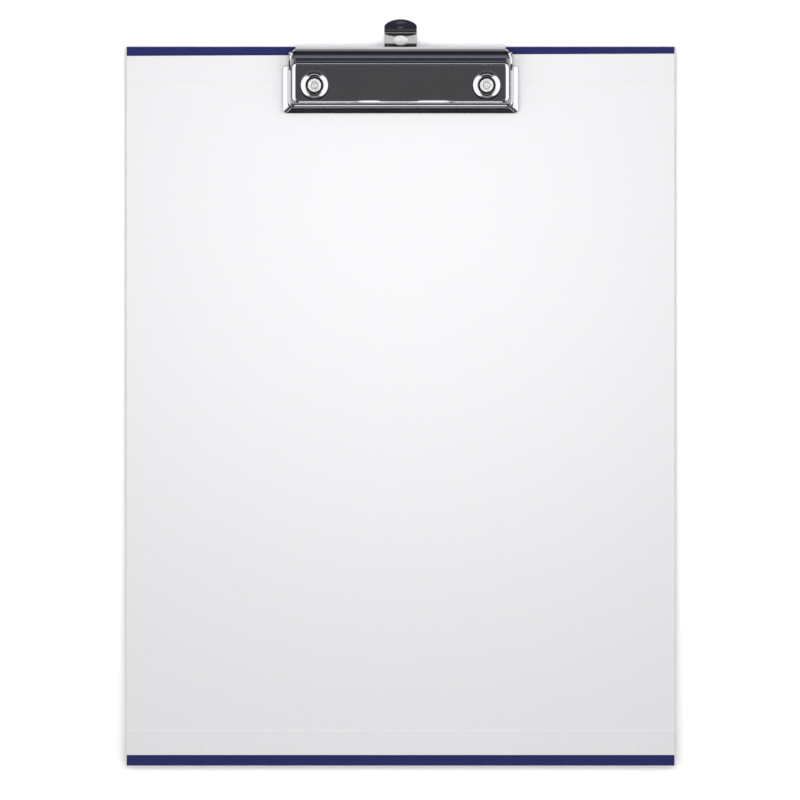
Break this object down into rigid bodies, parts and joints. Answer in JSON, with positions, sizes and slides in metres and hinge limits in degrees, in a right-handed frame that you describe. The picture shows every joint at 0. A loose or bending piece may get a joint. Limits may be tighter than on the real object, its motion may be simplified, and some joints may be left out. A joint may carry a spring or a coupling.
{
  "type": "clipboard",
  "caption": "A4 clipboard: foil-wrapped board with a white lining and a low chrome clip whose sprung jaw frame lifts by its flared sides, and a hanging tab with a hole.",
  "frame": {"origin": "middle of the board's back face, which is where the board lies on a table", "axes": "+X across the board to the right seen from the front, +Y up the board to the clip and hanging tab, +Z out of the writing face"},
  "size_m": [0.24, 0.3272, 0.0114],
  "materials": {
    "greyboard": "raw grey pulp board, seen at the cut sides",
    "blue_foil": "dark blue satin foil with a fine leather grain",
    "white_lining": "matt white lining paper with a faint mottle",
    "chrome": "bright chrome plate with fine rub marks",
    "nickel": "bright nickel plate",
    "steel": "drawn steel wire"
  },
  "bodies": {
    "board": {"board_core": "greyboard", "back_cover": "blue_foil", "front_lining": "white_lining", "clip_plate": "chrome", "rivet_left": "nickel", "rivet_right": "nickel", "hanging_tab": "nickel", "hinge_pin": "steel", "spring_left": "steel", "spring_right": "steel"},
    "jaw": {"jaw_frame": "chrome"}
  },
  "joints": [
    {"name": "jaw_hinge", "type": "hinge", "parent": "board", "child": "jaw", "pos_m": [0, 0.1536, 0.00755], "axis": [-1, 0, 0], "range_deg": [0, 22], "stiffness_Nm_per_rad": 0.35, "springref_deg": -40.11, "deforming": ["spring_left", "spring_right"]}
  ]
}
